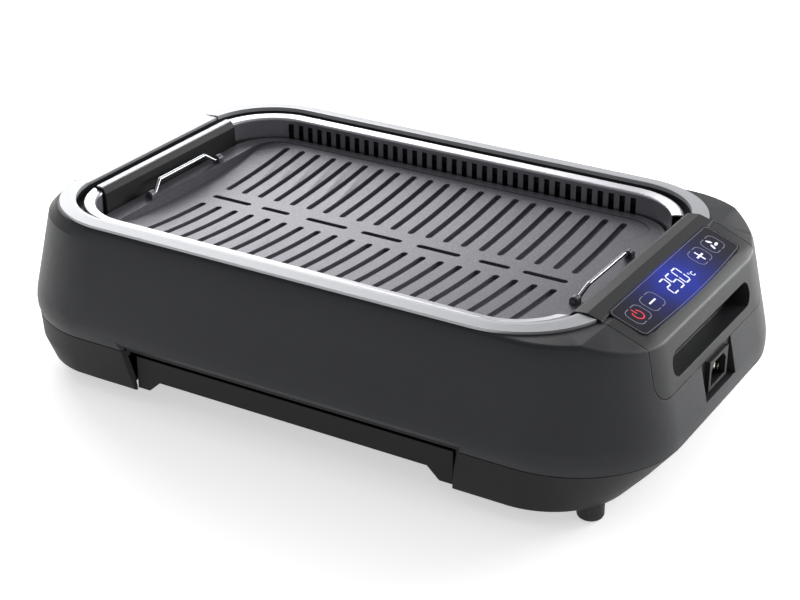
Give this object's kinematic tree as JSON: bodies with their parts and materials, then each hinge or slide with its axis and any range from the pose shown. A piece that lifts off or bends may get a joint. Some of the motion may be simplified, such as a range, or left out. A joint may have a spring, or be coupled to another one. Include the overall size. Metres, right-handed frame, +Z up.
{
  "type": "smokeless indoor grill",
  "caption": "Tabletop electric grill with a dished grooved plate, slotted steel splash guards, slide-out water tray and pull-out touch control module.",
  "frame": {"origin": "centre of the body's footprint on the table, under the feet", "axes": "+Z up, +X towards the control module and power inlet, -Y towards the front, where the water tray pulls out"},
  "size_m": [0.512, 0.297, 0.1332],
  "materials": {
    "housing_grey": "fine satin graphite",
    "base_black": "fine matte",
    "trim_silver": "silver paint",
    "stainless": "polished sheet",
    "cast_nonstick": "speckled non-stick coat",
    "chrome_wire": "bright",
    "funnel_steel": "mill",
    "element_steel": "heat-dulled",
    "terminal_ceramic": "unglazed",
    "module_black": "satin black",
    "inner_black": "matte",
    "panel_gloss": "glossy, backlit",
    "board_green": "solder resist",
    "inlet_black": "matte",
    "pin_brass": "plated",
    "screw_steel": "zinc plated",
    "foot_rubber": "matte"
  },
  "bodies": {
    "housing": {"upper_housing": "housing_grey", "lower_base": "base_black", "trim_front": "trim_silver", "trim_rear": "trim_silver", "splash_guard_front": "stainless", "splash_guard_rear": "stainless", "left_end_block": "module_black", "end_strip_outer": "trim_silver", "end_strip_inner": "trim_silver", "drip_funnel": "funnel_steel", "heating_element": "element_steel", "element_clips": "funnel_steel", "element_terminals": "terminal_ceramic", "plate_sensor": "element_steel", "tray_rails": "base_black", "fan_scroll": "inner_black", "fan_guard": "inner_black", "fan_motor": "funnel_steel", "feet": "foot_rubber", "base_screws": "screw_steel"},
    "plate": {"grill_plate": "cast_nonstick"},
    "handle_left": {"handle_left": "chrome_wire"},
    "handle_right": {"handle_right": "chrome_wire"},
    "tray": {"water_tray": "base_black", "tray_front": "base_black"},
    "module": {"module_cover": "module_black", "module_case": "inner_black", "touch_panel": "panel_gloss", "circuit_board": "board_green", "display_unit": "inner_black", "module_plug": "inner_black", "inlet_socket": "inlet_black", "inlet_pins": "pin_brass"},
    "fan": {"fan_impeller": "inner_black", "fan_shaft": "screw_steel"}
  },
  "joints": [
    {"name": "tray_slide", "type": "slide", "parent": "housing", "child": "tray", "axis": [0, -1, 0], "range_m": [0, 0.25]},
    {"name": "plate_lift", "type": "slide", "parent": "housing", "child": "plate", "axis": [0, 0, 1], "range_m": [0, 0.06]},
    {"name": "handle_left_fold", "type": "hinge", "parent": "plate", "child": "handle_left", "pos_m": [-0.183, 0, 0.1146], "axis": [0, 1, 0], "range_deg": [0, 100]},
    {"name": "handle_right_fold", "type": "hinge", "parent": "plate", "child": "handle_right", "pos_m": [0.163, 0, 0.1146], "axis": [0, -1, 0], "range_deg": [0, 100]},
    {"name": "module_slide", "type": "slide", "parent": "housing", "child": "module", "axis": [1, 0, 0], "range_m": [0, 0.08]},
    {"name": "fan_spin", "type": "hinge", "parent": "housing", "child": "fan", "pos_m": [-0.196, 0.06, 0.043], "axis": [0, 0, 1], "continuous": true}
  ]
}
